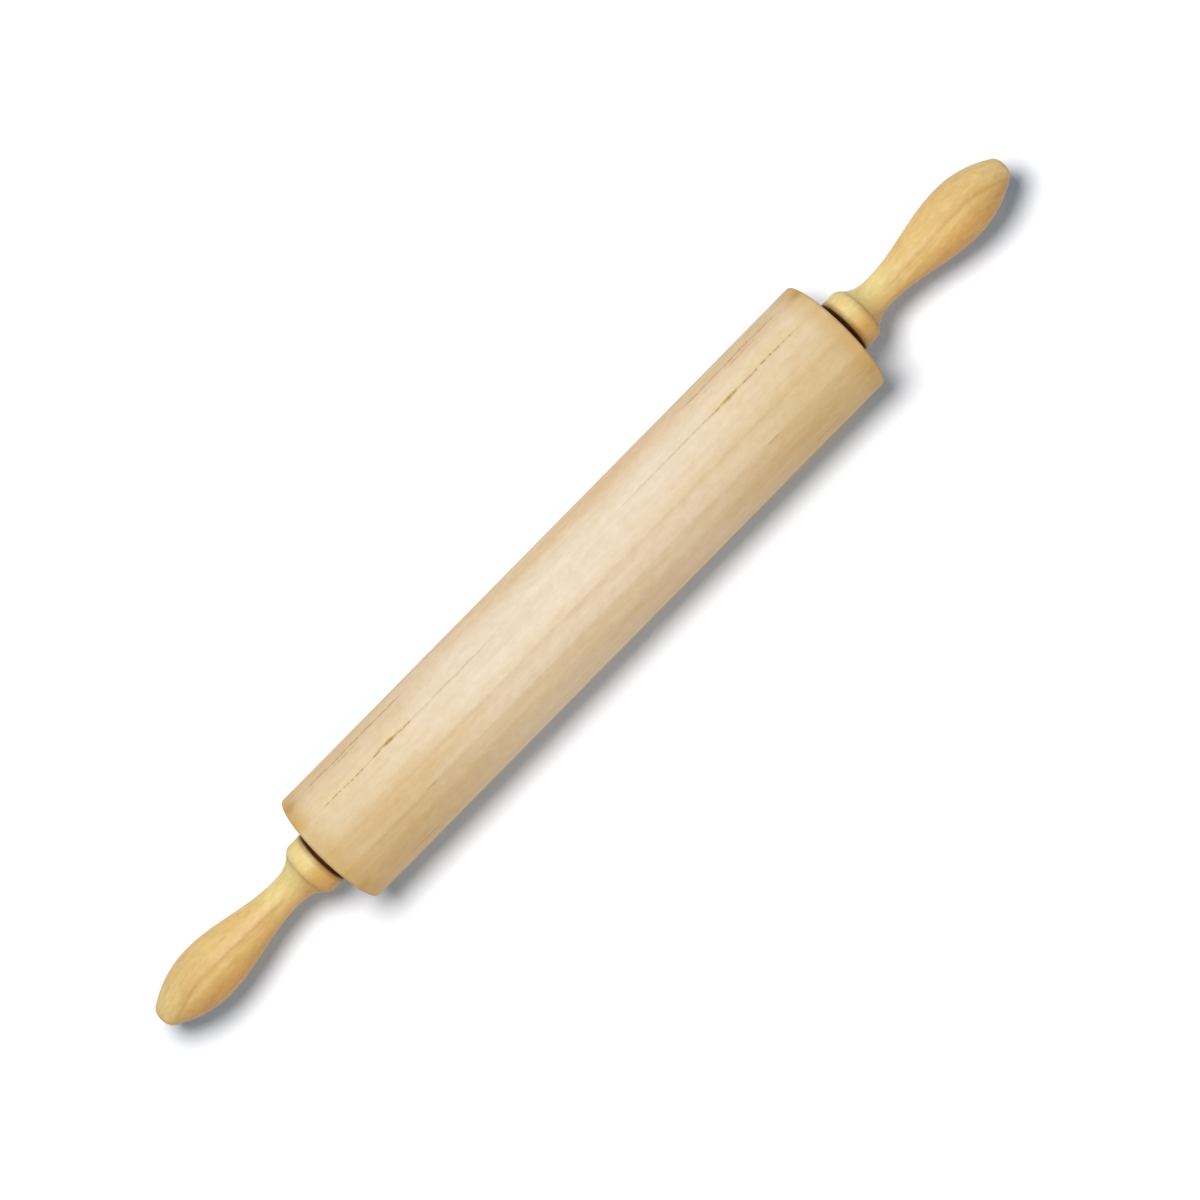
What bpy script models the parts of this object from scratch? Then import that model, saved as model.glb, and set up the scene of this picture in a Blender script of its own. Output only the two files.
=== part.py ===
"""A wooden rolling pin with handles, in metres, with +Z up.

The pin lies along X on the plane Z = 0, and the origin is under the middle of the barrel.
The barrel turns on two ball bearings. The axle runs through them and carries both handles,
so the handles turn together. Each bearing's balls and cage roll between its two rings.
"""

import math

import bmesh
import bpy

# Barrel
BARREL_LENGTH = 0.3048
BARREL_DIAMETER = 0.05715
BARREL_EDGE_ROUND = 0.0008
BORE_CLEARANCE = 0.00125
RELIEF_SPARE = 0.0015

# Axle
AXLE_DIAMETER = 0.008
AXLE_REACH = 0.05
AXLE_CHAMFER = 0.0008

# Ball bearings
BALL_COUNT = 7
BALL_DIAMETER = 0.003969
BALL_TO_FACE = 0.0015
INNER_RACE_WALL = 0.0009
OUTER_RACE_WALL = 0.00123
RACE_DEPTH = 0.00075
RING_CHAMFER = 0.0003
BEARING_INSET = 0.0004
CAGE_BACK = 0.0005
CAGE_REACH = 0.001
SHIELD_THICKNESS = 0.0004
SHIELD_STEP = 0.0005

# Retaining clips
CLIP_THICKNESS = 0.001
CLIP_HEIGHT = 0.0021
CLIP_GROOVE_DEPTH = 0.0005
CLIP_OPENING = math.radians(70)

# Spacers
SPACER_OVERLAP = 0.0013
SPACER_EDGE = 0.0006

# Lock nuts
NUT_WALL = 0.0022
NUT_THICKNESS = 0.004
NUT_CHAMFER = 0.0006

# Threaded inserts
INSERT_LENGTH = 0.008
INSERT_WALL = 0.0017
INSERT_RIDGES = 4
INSERT_RIDGE_HEIGHT = 0.0004

# Handles, each from its collar's face to its tip
HANDLE_GAP = 0.0048
COLLAR_DIAMETER = 0.0266
COLLAR_LENGTH = 0.0098
COLLAR_FACE_ROUND = 0.0008
COLLAR_ROUND = 0.0045
CREASE_ANGLE = 40.0
COVE_DIAMETER = 0.0231
COVE_LENGTH = 0.0127
COVE_POWER = 2.8
NECK_DIAMETER = 0.0148
SWELL_LENGTH = 0.046
BELLY_DIAMETER = 0.027
NOSE_LENGTH = 0.026
NOSE_POWER = 2.1
TIP_FLAT_DIAMETER = 0.0048
TIP_ROUND = 0.0042
TIP_ANGLE = 55.0

# Clearances
FIT_GAP = 0.0003
RUNNING_GAP = 0.0004
NUT_GAP = 0.0005
TIP_GAP = 0.001

# Facets
BARREL_SIDES = 64
HANDLE_SIDES = 32
BEARING_SIDES = 28
AXLE_SIDES = 24
INSERT_SIDES = 20
NUT_SIDES = 12
BALL_SIDES = 12
BALL_BANDS = 8
COVE_STEPS = 6
SWELL_STEPS = 8
NOSE_STEPS = 6
TIP_STEPS = 4
WELD_DISTANCE = 1e-6
SMOOTH_ANGLE = math.radians(35)

# Radii that follow from the sizes above
BARREL_RADIUS = BARREL_DIAMETER / 2
AXLE_RADIUS = AXLE_DIAMETER / 2
BALL_RADIUS = BALL_DIAMETER / 2
AXLE_HOLE_RADIUS = AXLE_RADIUS + FIT_GAP
RACE_RADIUS = BALL_RADIUS + FIT_GAP
PITCH_RADIUS = AXLE_HOLE_RADIUS + INNER_RACE_WALL + RACE_RADIUS
INNER_SHOULDER_RADIUS = PITCH_RADIUS - RACE_RADIUS + RACE_DEPTH
OUTER_SHOULDER_RADIUS = PITCH_RADIUS + RACE_RADIUS - RACE_DEPTH
BEARING_RADIUS = PITCH_RADIUS + RACE_RADIUS + OUTER_RACE_WALL
SEAT_RADIUS = BEARING_RADIUS + FIT_GAP
SPACER_RADIUS = SEAT_RADIUS + SPACER_OVERLAP
NUT_FLAT_RADIUS = AXLE_HOLE_RADIUS + NUT_WALL
NUT_CORNER_RADIUS = NUT_FLAT_RADIUS / math.cos(math.radians(30))
INSERT_RADIUS = AXLE_HOLE_RADIUS + INSERT_WALL

# Places along the axis, from the middle of the pin
BARREL_END = BARREL_LENGTH / 2
BEARING_HALF_WIDTH = BALL_RADIUS + BALL_TO_FACE
BEARING_MIDDLE = BARREL_END - BEARING_INSET - BEARING_HALF_WIDTH
INNER_RING_BACK = BEARING_MIDDLE - BEARING_HALF_WIDTH
SEAT_BOTTOM = INNER_RING_BACK - FIT_GAP
CLIP_MIDDLE = INNER_RING_BACK - FIT_GAP - CLIP_THICKNESS / 2
RELIEF_BOTTOM = CLIP_MIDDLE - CLIP_THICKNESS / 2 - RELIEF_SPARE
COLLAR_FACE = BARREL_END + HANDLE_GAP
AXLE_END = COLLAR_FACE + AXLE_REACH


def clear_scene():
    for thing in list(bpy.data.objects):
        bpy.data.objects.remove(thing, do_unlink=True)


def make_material(name, colour, roughness, metallic=0.0):
    material = bpy.data.materials.new(name)
    material.use_nodes = True
    shader = material.node_tree.nodes["Principled BSDF"]
    shader.inputs["Base Color"].default_value = (*colour, 1.0)
    shader.inputs["Roughness"].default_value = roughness
    shader.inputs["Metallic"].default_value = metallic
    return material


def arc(along, radius, reach, start, end, steps):
    """Points of an arc of size reach about (along, radius), from one angle to another in degrees."""
    angles = [math.radians(start + (end - start) * step / steps) for step in range(steps + 1)]
    return [(along + reach * math.cos(a), radius + reach * math.sin(a)) for a in angles]


def turned_mesh(name, outline, sides, holed, angle=2 * math.pi):
    """A solid turned about X from (along, radius) points, with one flat facing straight down.

    The flats stand at each point's radius, and the corners between them a little further out.
    A holed outline is closed. Any other outline starts and ends on the axis.
    """
    shape = bmesh.new()
    half_flat = math.tan(math.pi / sides)
    points = [shape.verts.new((x, radius * half_flat, -radius)) for x, radius in outline]
    if holed and angle < 2 * math.pi:
        geometry = points + [shape.faces.new(points)]
    else:
        ends = points[1:] + points[:1] if holed else points[1:]
        geometry = points + [shape.edges.new(pair) for pair in zip(points, ends)]
    bmesh.ops.spin(
        shape,
        geom=geometry,
        cent=(0.0, 0.0, 0.0),
        axis=(1.0, 0.0, 0.0),
        angle=angle,
        steps=sides,
    )
    bmesh.ops.remove_doubles(shape, verts=shape.verts, dist=WELD_DISTANCE)
    bmesh.ops.recalc_face_normals(shape, faces=shape.faces)
    mesh = bpy.data.meshes.new(name)
    shape.to_mesh(mesh)
    shape.free()
    mesh.shade_smooth()
    mesh.set_sharp_from_angle(angle=SMOOTH_ANGLE)
    return mesh


def place(name, mesh, material, parent, along=0.0):
    """An object on its parent's X axis, which every turning piece turns about."""
    if material.name not in mesh.materials:
        mesh.materials.append(material)
    piece = bpy.data.objects.new(name, mesh)
    piece.parent = parent
    piece.location.x = along
    bpy.context.scene.collection.objects.link(piece)
    return piece


def make_empty(name, parent=None):
    empty = bpy.data.objects.new(name, None)
    empty.empty_display_size = BARREL_RADIUS
    empty.parent = parent
    bpy.context.scene.collection.objects.link(empty)
    return empty


def barrel_mesh():
    """The barrel with its bore, and at each end a bearing seat and a relief for the clip."""
    rim = BARREL_END - BARREL_EDGE_ROUND
    shoulder = BARREL_RADIUS - BARREL_EDGE_ROUND
    bore = AXLE_RADIUS + BORE_CLEARANCE
    right_half = [
        *arc(rim, shoulder, BARREL_EDGE_ROUND, 90, 0, 2),
        (BARREL_END, SEAT_RADIUS),
        (SEAT_BOTTOM, SEAT_RADIUS),
        (SEAT_BOTTOM, OUTER_SHOULDER_RADIUS),
        (RELIEF_BOTTOM, OUTER_SHOULDER_RADIUS),
        (RELIEF_BOTTOM, bore),
    ]
    left_half = [(-x, radius) for x, radius in reversed(right_half)]
    return turned_mesh("barrel", right_half + left_half, BARREL_SIDES, holed=True)


def axle_mesh():
    """The axle, with a groove for the clip behind each bearing and a chamfer at each end."""
    groove = AXLE_RADIUS - CLIP_GROOVE_DEPTH
    groove_half = CLIP_THICKNESS / 2 + FIT_GAP
    right_half = [
        (CLIP_MIDDLE - groove_half, AXLE_RADIUS),
        (CLIP_MIDDLE - groove_half, groove),
        (CLIP_MIDDLE + groove_half, groove),
        (CLIP_MIDDLE + groove_half, AXLE_RADIUS),
        (AXLE_END - AXLE_CHAMFER, AXLE_RADIUS),
        (AXLE_END, AXLE_RADIUS - AXLE_CHAMFER),
        (AXLE_END, 0.0),
    ]
    left_half = [(-x, radius) for x, radius in reversed(right_half)]
    return turned_mesh("axle_rod", left_half + right_half, AXLE_SIDES, holed=False)


def race_arc(middle):
    """The balls' race in a ring, from one shoulder to the other, about the angle middle."""
    reach = math.degrees(math.acos(1 - RACE_DEPTH / RACE_RADIUS))
    return arc(0.0, PITCH_RADIUS, RACE_RADIUS, middle - reach, middle + reach, 4)


def inner_ring_mesh():
    """The bearing's inner ring, with the balls' race round its outside."""
    half = BEARING_HALF_WIDTH
    outline = [
        (-half, AXLE_HOLE_RADIUS),
        (-half, INNER_SHOULDER_RADIUS),
        *race_arc(270),
        (half, INNER_SHOULDER_RADIUS),
        (half, AXLE_HOLE_RADIUS),
    ]
    return turned_mesh("inner_ring", outline, AXLE_SIDES, holed=True)


def outer_ring_mesh():
    """The bearing's outer ring, with the race round its inside and a step for the shield."""
    half = BEARING_HALF_WIDTH
    recess = OUTER_SHOULDER_RADIUS + SHIELD_STEP
    step = half - SHIELD_THICKNESS - 2 * FIT_GAP
    outline = [
        (-half, BEARING_RADIUS - RING_CHAMFER),
        (-half + RING_CHAMFER, BEARING_RADIUS),
        (half - RING_CHAMFER, BEARING_RADIUS),
        (half, BEARING_RADIUS - RING_CHAMFER),
        (half, recess),
        (step, recess),
        (step, OUTER_SHOULDER_RADIUS),
        *race_arc(90),
        (-half, OUTER_SHOULDER_RADIUS),
    ]
    return turned_mesh("outer_ring", outline, BEARING_SIDES, holed=True)


def shield_mesh():
    """The thin ring that covers the balls, set into the outer ring's step."""
    front = BEARING_HALF_WIDTH - FIT_GAP
    back = front - SHIELD_THICKNESS
    inner = INNER_SHOULDER_RADIUS + RUNNING_GAP
    outer = OUTER_SHOULDER_RADIUS + SHIELD_STEP - FIT_GAP
    outline = [(back, inner), (back, outer), (front, outer), (front, inner)]
    return turned_mesh("shield", outline, BEARING_SIDES, holed=True)


def ball_mesh(name, radius):
    outline = arc(0.0, 0.0, radius, 180, 0, BALL_BANDS)
    outline[0] = (-radius, 0.0)
    outline[-1] = (radius, 0.0)
    return turned_mesh(name, outline, BALL_SIDES, holed=False)


def ball_places():
    """Where the balls' centres stand about the axis, as (y, z) pairs."""
    turns = [2 * math.pi * ball / BALL_COUNT for ball in range(BALL_COUNT)]
    return [(PITCH_RADIUS * math.sin(turn), PITCH_RADIUS * math.cos(turn)) for turn in turns]


def cage_ring_mesh():
    """The cage before its pockets are cut: a ring that reaches past the balls' middle."""
    back = -(BALL_RADIUS + FIT_GAP + CAGE_BACK)
    inner = INNER_SHOULDER_RADIUS + RUNNING_GAP
    outer = OUTER_SHOULDER_RADIUS - RUNNING_GAP
    outline = [(back, inner), (back, outer), (CAGE_REACH, outer), (CAGE_REACH, inner)]
    return turned_mesh("cage_ring", outline, BEARING_SIDES, holed=True)


def clip_mesh():
    """The retaining clip: an open ring that snaps into the axle's groove."""
    inner = AXLE_RADIUS - CLIP_GROOVE_DEPTH + FIT_GAP
    half = CLIP_THICKNESS / 2
    outer = inner + CLIP_HEIGHT
    outline = [(-half, inner), (-half, outer), (half, outer), (half, inner)]
    return turned_mesh("clip", outline, AXLE_SIDES, holed=True, angle=2 * math.pi - CLIP_OPENING)


def spacer_mesh():
    """The spacer: a hub against the inner ring, and a flange wider than the bearing's seat."""
    hub_radius = INNER_SHOULDER_RADIUS - FIT_GAP
    hub_back = -(BEARING_INSET - FIT_GAP)
    front = HANDLE_GAP - FIT_GAP
    outline = [
        (hub_back, AXLE_HOLE_RADIUS),
        (hub_back, hub_radius),
        (RUNNING_GAP, hub_radius),
        (RUNNING_GAP, SPACER_RADIUS - SPACER_EDGE),
        (RUNNING_GAP + SPACER_EDGE, SPACER_RADIUS),
        (front - SPACER_EDGE, SPACER_RADIUS),
        (front, SPACER_RADIUS - SPACER_EDGE),
        (front, AXLE_HOLE_RADIUS),
    ]
    return turned_mesh("spacer", outline, BEARING_SIDES, holed=True)


def nut_mesh():
    """A thin hexagon nut: turned wide, then drawn in to its six flats."""
    flat = NUT_FLAT_RADIUS
    outline = [
        (0.0, AXLE_HOLE_RADIUS),
        (0.0, flat),
        (NUT_CHAMFER, NUT_CORNER_RADIUS),
        (NUT_THICKNESS - NUT_CHAMFER, NUT_CORNER_RADIUS),
        (NUT_THICKNESS, flat),
        (NUT_THICKNESS, AXLE_HOLE_RADIUS),
    ]
    mesh = turned_mesh("nut", outline, NUT_SIDES, holed=True)
    corner_angle = math.pi / NUT_SIDES
    for vertex in mesh.vertices:
        _, y, z = vertex.co
        radius = math.hypot(y, z)
        if radius < flat:
            continue
        from_corner = (math.atan2(y, -z) - corner_angle) % math.radians(60)
        hexagon = flat / math.cos(from_corner - math.radians(30))
        limit = min(radius, hexagon) / radius
        vertex.co.y = y * limit
        vertex.co.z = z * limit
    return mesh


def insert_mesh():
    """The threaded insert: a sleeve with saw-tooth ridges that grip the wood."""
    pitch = INSERT_LENGTH / INSERT_RIDGES
    root = INSERT_RADIUS - INSERT_RIDGE_HEIGHT
    outline = [(0.0, AXLE_HOLE_RADIUS)]
    for ridge in range(INSERT_RIDGES):
        outline.append((ridge * pitch, INSERT_RADIUS))
        outline.append(((ridge + 1) * pitch, root))
    outline.append((INSERT_LENGTH, AXLE_HOLE_RADIUS))
    return turned_mesh("insert", outline, INSERT_SIDES, holed=True)


def handle_outline():
    """The handle's outside: a round-edged collar, a cove to the neck, a swell, a nose and a tip."""
    collar = COLLAR_DIAMETER / 2
    cove = COVE_DIAMETER / 2
    neck = NECK_DIAMETER / 2
    belly = BELLY_DIAMETER / 2
    flat = TIP_FLAT_DIAMETER / 2
    tip = flat + TIP_ROUND * math.sin(math.radians(TIP_ANGLE))
    neck_place = COLLAR_LENGTH + COVE_LENGTH
    belly_place = neck_place + SWELL_LENGTH
    tip_middle = belly_place + NOSE_LENGTH - TIP_ROUND * math.cos(math.radians(TIP_ANGLE))
    face_round = COLLAR_FACE_ROUND
    outline = arc(face_round, collar - face_round, face_round, 180, 90, 2)
    round_middle = COLLAR_LENGTH - COLLAR_ROUND * math.cos(math.radians(CREASE_ANGLE))
    outline += arc(round_middle, collar - COLLAR_ROUND, COLLAR_ROUND, 90, CREASE_ANGLE, 3)
    for step in range(COVE_STEPS):
        share = step / COVE_STEPS
        rise = (cove - neck) * (1 - share) ** COVE_POWER
        outline.append((COLLAR_LENGTH + COVE_LENGTH * share, neck + rise))
    for step in range(SWELL_STEPS):
        share = step / SWELL_STEPS
        rise = (1 - math.cos(math.pi * share)) / 2
        outline.append((neck_place + SWELL_LENGTH * share, neck + (belly - neck) * rise))
    for step in range(NOSE_STEPS):
        share = step / NOSE_STEPS
        drop = (belly - tip) * share**NOSE_POWER
        outline.append((belly_place + NOSE_LENGTH * share, belly - drop))
    outline += arc(tip_middle, flat, TIP_ROUND, TIP_ANGLE, 0, TIP_STEPS)
    outline.append((tip_middle + TIP_ROUND, 0.0))
    return outline


def handle_mesh():
    """The handle, bored from its collar's face for the nut, the insert and the axle."""
    recess = NUT_CORNER_RADIUS + NUT_GAP
    insert_hole = INSERT_RADIUS + FIT_GAP
    recess_depth = NUT_THICKNESS + FIT_GAP
    insert_depth = recess_depth + INSERT_LENGTH + FIT_GAP
    hole_depth = AXLE_REACH + TIP_GAP
    inside = [
        (hole_depth, 0.0),
        (hole_depth, AXLE_HOLE_RADIUS),
        (insert_depth, AXLE_HOLE_RADIUS),
        (insert_depth, insert_hole),
        (recess_depth, insert_hole),
        (recess_depth, recess),
        (0.0, recess),
    ]
    return turned_mesh("handle", inside + handle_outline(), HANDLE_SIDES, holed=False)


def build_cage(name, mesh, material, parent):
    """A cage with one pocket cut for each ball."""
    cage = place(name, mesh, material, parent, BEARING_MIDDLE)
    pocket = ball_mesh("pocket", BALL_RADIUS + FIT_GAP)
    for number, (y, z) in enumerate(ball_places(), start=1):
        cutter = place(f"{name}_pocket_{number}", pocket, material, parent, BEARING_MIDDLE)
        cutter.location.y = y
        cutter.location.z = z
        cutter.hide_render = True
        cutter.display_type = "WIRE"
        cut = cage.modifiers.new(f"pocket_{number}", "BOOLEAN")
        cut.operation = "DIFFERENCE"
        cut.object = cutter


def build_balls(side, mesh, material, parent):
    for number, (y, z) in enumerate(ball_places(), start=1):
        ball = place(f"{side}_bearing_ball_{number}", mesh, material, parent, BEARING_MIDDLE)
        ball.location.y = y
        ball.location.z = z


def main():
    clear_scene()
    barrel_wood = make_material("barrel_wood", (0.82, 0.67, 0.46), 0.55)
    handle_wood = make_material("handle_wood", (0.72, 0.49, 0.22), 0.35)
    steel = make_material("steel", (0.62, 0.62, 0.63), 0.3, 1.0)
    bearing_steel = make_material("bearing_steel", (0.7, 0.7, 0.72), 0.15, 1.0)
    spring_steel = make_material("spring_steel", (0.16, 0.15, 0.15), 0.45, 1.0)
    brass = make_material("brass", (0.71, 0.49, 0.18), 0.3, 1.0)
    dark_plastic = make_material("dark_plastic", (0.03, 0.018, 0.012), 0.5)
    cage_plastic = make_material("cage_plastic", (0.75, 0.7, 0.58), 0.45)

    axis = make_empty("pin_axis")
    axis.location.z = BARREL_RADIUS
    place("barrel", barrel_mesh(), barrel_wood, axis)
    place("axle_rod", axle_mesh(), steel, axis)

    end_pieces = [
        ("handle", handle_mesh(), handle_wood, COLLAR_FACE),
        ("handle_insert", insert_mesh(), brass, COLLAR_FACE + NUT_THICKNESS + FIT_GAP),
        ("lock_nut", nut_mesh(), steel, COLLAR_FACE),
        ("spacer", spacer_mesh(), dark_plastic, BARREL_END),
        ("bearing_shield", shield_mesh(), bearing_steel, BEARING_MIDDLE),
        ("bearing_outer_ring", outer_ring_mesh(), bearing_steel, BEARING_MIDDLE),
        ("bearing_inner_ring", inner_ring_mesh(), bearing_steel, BEARING_MIDDLE),
        ("retaining_clip", clip_mesh(), spring_steel, CLIP_MIDDLE),
    ]
    ball = ball_mesh("ball", BALL_RADIUS)
    for side, facing in (("right", 0.0), ("left", math.pi)):
        end = make_empty(f"{side}_end", axis)
        end.rotation_euler.z = facing
        for name, mesh, material, along in end_pieces:
            place(f"{side}_{name}", mesh, material, end, along)
        build_cage(f"{side}_bearing_cage", cage_ring_mesh(), cage_plastic, end)
        build_balls(side, ball, bearing_steel, end)


main()
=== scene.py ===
"""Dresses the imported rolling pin: fine turned wood, procedural materials, floor, light and camera.

Every size is in metres. The pin lies along X, with the barrel's middle above the frame's origin. Its
front is the side towards -Y, which is the lower right side in the camera's picture.
"""

import math

import bmesh
import bpy
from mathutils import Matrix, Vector


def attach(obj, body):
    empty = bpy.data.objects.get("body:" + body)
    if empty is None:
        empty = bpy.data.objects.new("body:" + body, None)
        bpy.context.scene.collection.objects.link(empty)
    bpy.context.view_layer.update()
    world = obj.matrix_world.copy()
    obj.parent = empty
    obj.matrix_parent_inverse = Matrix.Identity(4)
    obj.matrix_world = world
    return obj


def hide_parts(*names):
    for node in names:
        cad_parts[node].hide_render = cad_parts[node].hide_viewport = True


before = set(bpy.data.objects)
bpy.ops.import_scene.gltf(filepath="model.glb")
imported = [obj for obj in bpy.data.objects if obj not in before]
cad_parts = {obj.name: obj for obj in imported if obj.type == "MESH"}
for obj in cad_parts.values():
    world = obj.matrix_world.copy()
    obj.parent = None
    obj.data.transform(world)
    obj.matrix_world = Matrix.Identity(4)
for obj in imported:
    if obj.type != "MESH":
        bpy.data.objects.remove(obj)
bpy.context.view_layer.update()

# The pin's axis and the barrel
AXIS_HEIGHT = 0.028575
BARREL_RADIUS = 0.028575
BARREL_END = 0.1524
BARREL_EDGE_ROUND = 0.0008
SEAT_RADIUS = 0.011299
SEAT_BOTTOM = 0.144731
RELIEF_RADIUS = 0.009019
RELIEF_BOTTOM = 0.142231
BORE_RADIUS = 0.00525

# The spacer
SPACER_BACK = -0.0001
SPACER_HUB_RADIUS = 0.00565
SPACER_START = 0.0004
SPACER_FRONT = 0.0045
SPACER_RADIUS = 0.012599
SPACER_EDGE = 0.0006

# The handle's outside
COLLAR_FACE = 0.1572
COLLAR_RADIUS = 0.0133
COLLAR_LENGTH = 0.0098
COLLAR_FACE_ROUND = 0.0008
COLLAR_ROUND = 0.0045
CREASE_ANGLE = 40.0
COVE_RADIUS = 0.01155
COVE_LENGTH = 0.0127
COVE_POWER = 2.8
NECK_RADIUS = 0.0074
SWELL_LENGTH = 0.046
BELLY_RADIUS = 0.0135
NOSE_LENGTH = 0.026
NOSE_POWER = 2.1
TIP_FLAT_RADIUS = 0.0024
TIP_ROUND = 0.0042
TIP_ANGLE = 55.0

# The handle's bores
AXLE_HOLE_RADIUS = 0.0043
AXLE_HOLE_DEPTH = 0.051
INSERT_HOLE_RADIUS = 0.0063
INSERT_HOLE_DEPTH = 0.0126
NUT_RECESS_RADIUS = 0.0080056
NUT_RECESS_DEPTH = 0.0043

# Fineness of the turned meshes, and the places of the barrel's rings that keep its long faces short
BARREL_SIDES = 192
HANDLE_SIDES = 96
SPACER_SIDES = 96
BARREL_RING_PLACES = (0.05, 0.1)
EDGE_STEPS = 6
SPACER_EDGE_STEPS = 5
COLLAR_STEPS = 12
COVE_STEPS = 28
SWELL_STEPS = 40
NOSE_STEPS = 28
TIP_STEPS = 14
SMOOTH_ANGLE = math.radians(32)
WELD_DISTANCE = 1e-6

# The camera, almost straight above the pin
CAMERA_PLACE = (0.0027, -0.0076, AXIS_HEIGHT + 0.784)
CAMERA_TURN = math.radians(-45.42)
CAMERA_LENS = 55.5
SENSOR_WIDTH = 36.0

# The key lamp beside the camera, the warm fill lamp low in front, and the light from all round
KEY_PLACE = (-0.046, 0.187, 0.68)
KEY_STRENGTH = 0.96
KEY_RADIUS = 0.125
FILL_FROM = (0.0, -1.0, 0.18)
FILL_STRENGTH = 0.235
FILL_COLOUR = (1.0, 0.84, 0.62)
FILL_SPREAD = math.radians(40)
SKY_STRENGTH = 0.08
SKY_COLOUR = (1.0, 1.0, 1.0, 1.0)

# The floor, with its paint for the light that it sends on, and its paint and faint glow as it is seen
FLOOR_SIZE = 6.0
FLOOR_BOUNCE = (0.84, 0.76, 0.66, 1.0)
FLOOR_PAINT = (0.93, 0.90, 0.90, 1.0)
FLOOR_GLOW = (0.034, 0.090, 0.137, 1.0)
# Under the barrel the glow is a greyer one. Its share goes softly with the distance from the barrel's
# middle, along and across, and the four values are low, high, the share up to low and the share from high.
FLOOR_GLOW_BELOW = (0.064, 0.070, 0.075, 1.0)
BELOW_ALONG = (0.150, 0.157, 1.0, 0.0)
BELOW_ACROSS = (0.003, 0.018, 1.0, 0.0)


def srgb(red, green, blue):
    """A colour written as 0 to 255 screen values, as the linear colour that Blender wants."""
    shares = [value / 255 for value in (red, green, blue)]
    linear = [s / 12.92 if s <= 0.04045 else ((s + 0.055) / 1.055) ** 2.4 for s in shares]
    return (*linear, 1.0)


# A noise below is its changes per metre along and across the fibres, its detail and its roughness.
# A soft step is low, high, start and end: from low to high, a share goes from start to end.

# Both kinds of wood: how their growth rings wander, their cut ends, and the dark lines on them. A line
# wobbles by a share of its half width, is narrower at its ends, and has gaps between its dashes.
RING_DRIFT = (7.0, 18.0, 2.0, 0.5)
RING_RIPPLE = (40.0, 90.0, 2.0, 0.5)
RING_RIPPLE_SHARE = 0.3
END_GRAIN_TILT = (0.5, 0.97, 0.0, 1.0)
END_RING_STEP = (-0.3, 0.45, 0.35, 0.85)
GRAIN_MIDDLE = 0.5
FIBRE_SHARE = 0.25
MARK_WOBBLE_SCALE = (70.0, 10.0, 10.0)
MARK_WOBBLE_SHARE = 2.2
MARK_END_WIDTH = 0.2
MARK_DASH_SCALE = (520.0, 60.0, 60.0)
MARK_DASH_STEP = (0.40, 0.62)
MARK_DETAIL = 3.0
MARK_DASH_ROUGHNESS = 0.6

# The barrel's wood, with the turn from its top towards its front that leads to the tree's bark
BARREL_BARK_TURN = math.radians(-68)
BARREL_HEART_DISTANCE = 0.15
BARREL_WANDER = 0.0010
BARREL_PALE = srgb(245, 230, 208)
# The tan of the growth rings, which on the front also stands for painted shade
BARREL_TAN_AND_SHADE = srgb(225, 199, 163)
BARREL_GRAIN = (0.86, 0.80, 0.68, 1.0)
BARREL_AGED = (0.86, 0.77, 0.515, 1.0)
BARREL_BLUSH = (1.0, 0.93, 0.87, 1.0)
BARREL_HONEY = (0.99, 0.96, 0.84, 1.0)
BARREL_RIM = srgb(204, 160, 76)
BARREL_BROWN = srgb(158, 114, 30)
BARREL_STAIN = (1.0, 0.94, 0.74, 1.0)
BARREL_END_GRAIN = srgb(214, 186, 150)
BARREL_END_RINGS = 900.0
BARREL_FIBRES = (34.0, 1500.0, 3.0, 0.6)
BARREL_ROUGHNESS = 0.6
BARREL_FIBRE_ROUGHNESS = 0.07
BARREL_SPECULAR = 0.3
BARREL_BUMP = 0.00004
BARREL_MARK_SINK = -1.5
# How the barrel's wood yellows: by reach from the middle, by growth ring, and in patches at the rim
BARREL_AGED_REACH = (0.04, 0.135, 0.0, 1.0)
BARREL_AGED_RINGS = (0.005, 0.030, 0.74, 0.38)
BARREL_RIM_REACH = (0.139, 0.1515, 0.0, 1.0)
BARREL_RIM_PATCHES = (90.0, 110.0, 2.0, 0.5)
BARREL_RIM_PATCH_STEP = (-0.4, 0.4, 0.6, 1.0)
BARREL_EDGE_STEP = (BARREL_END - 0.0016, BARREL_END, 0.0, 0.3)
# Lines that follow the growth rings: changes per metre along and across, and their share of the grain
BARREL_RING_LINES = (9.0, 500.0, 0.18)
# Streaks of the grain: a noise, and its share
BARREL_STREAKS = [
    (12.0, 170.0, 3.0, 0.5, 0.22),
    (200.0, 340.0, 3.0, 0.6, 0.60),
    (16.0, 90.0, 2.0, 0.5, 0.45),
]
# Broad patches of tint: the tint, its noise and the soft step on it
BARREL_TINTS = [
    (BARREL_BLUSH, (8.0, 50.0, 2.0, 0.5), (-0.1, 0.5, 0.0, 0.55)),
    (BARREL_HONEY, (11.0, 42.0, 2.0, 0.5), (0.0, 0.5, 0.0, 0.8)),
]
# The share of tan in each growth ring, from the barrel's front (0) to its back (1). The bands are in the
# wood, and their larger share on the front half is partly painted shade
BARREL_BAND_WIDTH = 0.06
BARREL_BANDS_AND_SHADE = [
    (0.00, 0.40),
    (0.20, 0.00),
    (0.277, 0.32),
    (0.36, 0.68),
    (0.403, 0.70),
    (0.423, 0.54),
    (0.50, 0.66),
    (0.513, 0.68),
    (0.532, 0.36),
    (0.61, 0.32),
    (0.6625, 0.50),
    (0.674, 0.58),
    (0.693, 0.34),
    (0.756, 0.20),
    (0.857, 0.10),
    (0.90, 0.04),
    (0.953, 0.28),
    (0.975, 0.42),
]
# How much of the yellow rim colour each growth ring takes at the barrel's ends, on the same scale
BARREL_RIM_BANDS = [
    (0.40, 0.50),
    (0.52, 0.62),
    (0.60, 0.60),
    (0.66, 0.46),
    (0.75, 0.87),
    (0.80, 0.75),
    (0.84, 0.42),
    (0.90, 0.80),
    (0.975, 0.70),
]
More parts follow.
